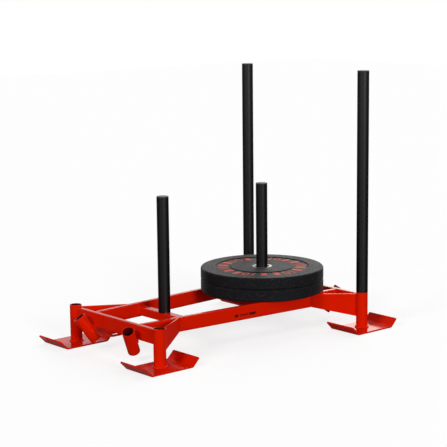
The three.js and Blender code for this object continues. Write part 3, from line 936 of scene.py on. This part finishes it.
def number_mesh(text, size):
    """A plain raised number, flat on XY and centred."""
    curve = bpy.data.curves.new("number", "FONT")
    curve.body, curve.size, curve.extrude = text, size, MARK_RISE / 2
    curve.align_x, curve.align_y = "CENTER", "CENTER"
    curve.resolution_u = NUMBER_STEPS
    letters = bpy.data.objects.new("number", curve)
    mesh = bpy.data.meshes.new_from_object(letters)
    bpy.data.objects.remove(letters)
    return mesh


def plate_marks():
    """Generic raised marks on the sunken ring of both faces: the number 10 and pairs of bars."""
    bm = bmesh.new()
    number = number_mesh("10", NUMBER_SIZE)
    for flip in (0, math.pi):
        face = Matrix.Rotation(flip, 4, "X") @ at(0, 0, PLATE_THICKNESS / 2 - RING_DEPTH + MARK_RISE / 2)
        for group in range(MARK_GROUPS):
            heading = math.tau * group / MARK_GROUPS
            turn = face @ Matrix.Rotation(heading, 4, "Z") @ at(0, MARK_RADIUS, 0)
            before = set(bm.verts)
            bm.from_mesh(number)
            fresh = [v for v in bm.verts if v not in before]
            bmesh.ops.transform(bm, matrix=turn, verts=fresh)
            for side in (-1, 1):
                lean = heading + math.pi / MARK_GROUPS + side * BAR_PITCH / 2
                bar = bmesh.ops.create_cube(bm, size=1)["verts"]
                shape = Matrix.Diagonal((BAR_WIDTH, MARK_HEIGHT, MARK_RISE, 1))
                bmesh.ops.transform(
                    bm, verts=bar,
                    matrix=face @ Matrix.Rotation(lean, 4, "Z") @ at(0, MARK_RADIUS, 0) @ shape)
    return bm


for name, bottom in (("lower_plate", FRAME_TOP), ("upper_plate", FRAME_TOP + PLATE_THICKNESS)):
    middle = at(WEIGHT_POST_X, 0, bottom + PLATE_THICKNESS / 2)
    place(moved(plate_rubber(), middle), f"{name}_rubber", name, [RUBBER], [name])
    place(moved(hub_ring(), middle), f"{name}_steel_ring", name, [STEEL], [f"{name}_hub_ring"])
    place(moved(plate_marks(), middle), f"{name}_marks", name, [PAINT])


# Floor, light and camera, in metres

FLOOR_REACH = 12        # from the middle to each side
FLOOR_GLOW = 0.75       # to the camera alone, so that the floor runs into the backdrop
BACKDROP_LIGHT = 0.12   # what the backdrop sheds on the sled, where white is 1

# Each softbox: the direction it stands in, its apparent width in degrees, its strength and tint.
# Right and left are the camera's.
SOFTBOXES = {
    "right_softbox": ((-0.17, -0.95, 0.26), 20, 1.5, (1, 1, 1)),
    "left_softbox": ((-0.86, -0.13, 0.50), 20, 1.2, (1, 1, 1)),
    "top_softbox": ((0.72, 0.34, 0.60), 40, 1.2, (1, 1, 1)),
    "back_softbox": ((0.72, 0.65, 0.23), 16, 0.12, (1, 0.82, 0.68)),
}

# The photograph's viewpoint, found from the sled's own edges. The angles are in radians.
CAMERA_PLACE = (-3.262969, -3.857970, 1.273752)
CAMERA_YAW, CAMERA_PITCH, CAMERA_ROLL = 0.708854, 0.171270, -0.010281
CAMERA_LENS, CAMERA_SENSOR = 116.494, 36    # in millimetres
CAMERA_NEAR, CAMERA_FAR = 0.05, 100


def pale_floor():
    """A plain pale floor that takes the sled's soft shadow and meets the white backdrop.

    Its paint is a mid grey, which keeps the shadow faint, and its glow makes it pale to the camera.
    """
    bm = bmesh.new()
    bmesh.ops.create_grid(bm, x_segments=1, y_segments=1, size=FLOOR_REACH)
    mesh = bpy.data.meshes.new("floor")
    bm.to_mesh(mesh)
    bm.free()
    floor = bpy.data.objects.new("floor", mesh)
    bpy.context.scene.collection.objects.link(floor)
    coat = bpy.data.materials.new("matt_white_floor_paint")
    coat.use_nodes = True
    tree = coat.node_tree
    tree.nodes.clear()
    rays = add_node(tree, "ShaderNodeLightPath")
    glow = add_node(tree, "ShaderNodeMath", {1: FLOOR_GLOW}, {0: rays.outputs["Is Camera Ray"]},
                    operation="MULTIPLY")
    paint = add_node(tree, "ShaderNodeBsdfDiffuse", {"Color": linear("#A0A0A0")})
    light = add_node(tree, "ShaderNodeEmission", {"Color": (1, 1, 1, 1)}, {"Strength": glow.outputs[0]})
    both = add_node(tree, "ShaderNodeAddShader", (), {0: paint.outputs[0], 1: light.outputs[0]})
    add_node(tree, "ShaderNodeOutputMaterial", (), {"Surface": both.outputs[0]})
    mesh.materials.append(coat)
    floor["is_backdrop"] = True


def white_backdrop():
    """White to the camera and in reflections, and a softer even light on the sled."""
    world = bpy.data.worlds.new("white_backdrop")
    bpy.context.scene.world = world
    world.use_nodes = True
    tree = world.node_tree
    rays = add_node(tree, "ShaderNodeLightPath")
    seen = add_node(
        tree, "ShaderNodeMath", (),
        {0: rays.outputs["Is Camera Ray"], 1: rays.outputs["Is Glossy Ray"]}, operation="MAXIMUM")
    bare = add_node(
        tree, "ShaderNodeMath", (),
        {0: seen.outputs[0], 1: rays.outputs["Is Transmission Ray"]}, operation="MAXIMUM")
    level = add_node(
        tree, "ShaderNodeMapRange", {"To Min": BACKDROP_LIGHT, "To Max": 1.0},
        {"Value": bare.outputs[0]})
    background = tree.nodes["Background"]
    background.inputs["Color"].default_value = (1, 1, 1, 1)
    tree.links.new(level.outputs["Result"], background.inputs["Strength"])


def softbox(name, direction, width, strength, tint):
    """A wide soft light from far off in one direction, even over the whole floor."""
    lamp = bpy.data.lights.new(name, "SUN")
    lamp.angle, lamp.energy, lamp.color = math.radians(width), strength, tint
    holder = bpy.data.objects.new(name, lamp)
    bpy.context.scene.collection.objects.link(holder)
    holder.rotation_euler = Vector(direction).to_track_quat("Z", "Y").to_euler()


def photo_camera():
    """The camera at the photograph's viewpoint."""
    yaw, pitch, roll = CAMERA_YAW, CAMERA_PITCH, CAMERA_ROLL
    back = -Vector((math.cos(pitch) * math.sin(yaw), math.cos(pitch) * math.cos(yaw), -math.sin(pitch)))
    level = Vector((math.cos(yaw), -math.sin(yaw), 0))
    rise = back.cross(level)
    right = math.cos(roll) * level + math.sin(roll) * rise
    up = math.cos(roll) * rise - math.sin(roll) * level
    camera = bpy.data.cameras.new("photo_camera")
    camera.sensor_width, camera.lens = CAMERA_SENSOR, CAMERA_LENS
    camera.clip_start, camera.clip_end = CAMERA_NEAR, CAMERA_FAR
    holder = bpy.data.objects.new("photo_camera", camera)
    bpy.context.scene.collection.objects.link(holder)
    turn = Matrix((right, up, back)).transposed().to_4x4()
    holder.matrix_world = Matrix.Translation(CAMERA_PLACE) @ turn
    bpy.context.scene.camera = holder


pale_floor()
white_backdrop()
for name, settings in SOFTBOXES.items():
    softbox(name, *settings)
photo_camera()
bpy.context.scene.view_settings.view_transform = "Standard"

low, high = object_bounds()
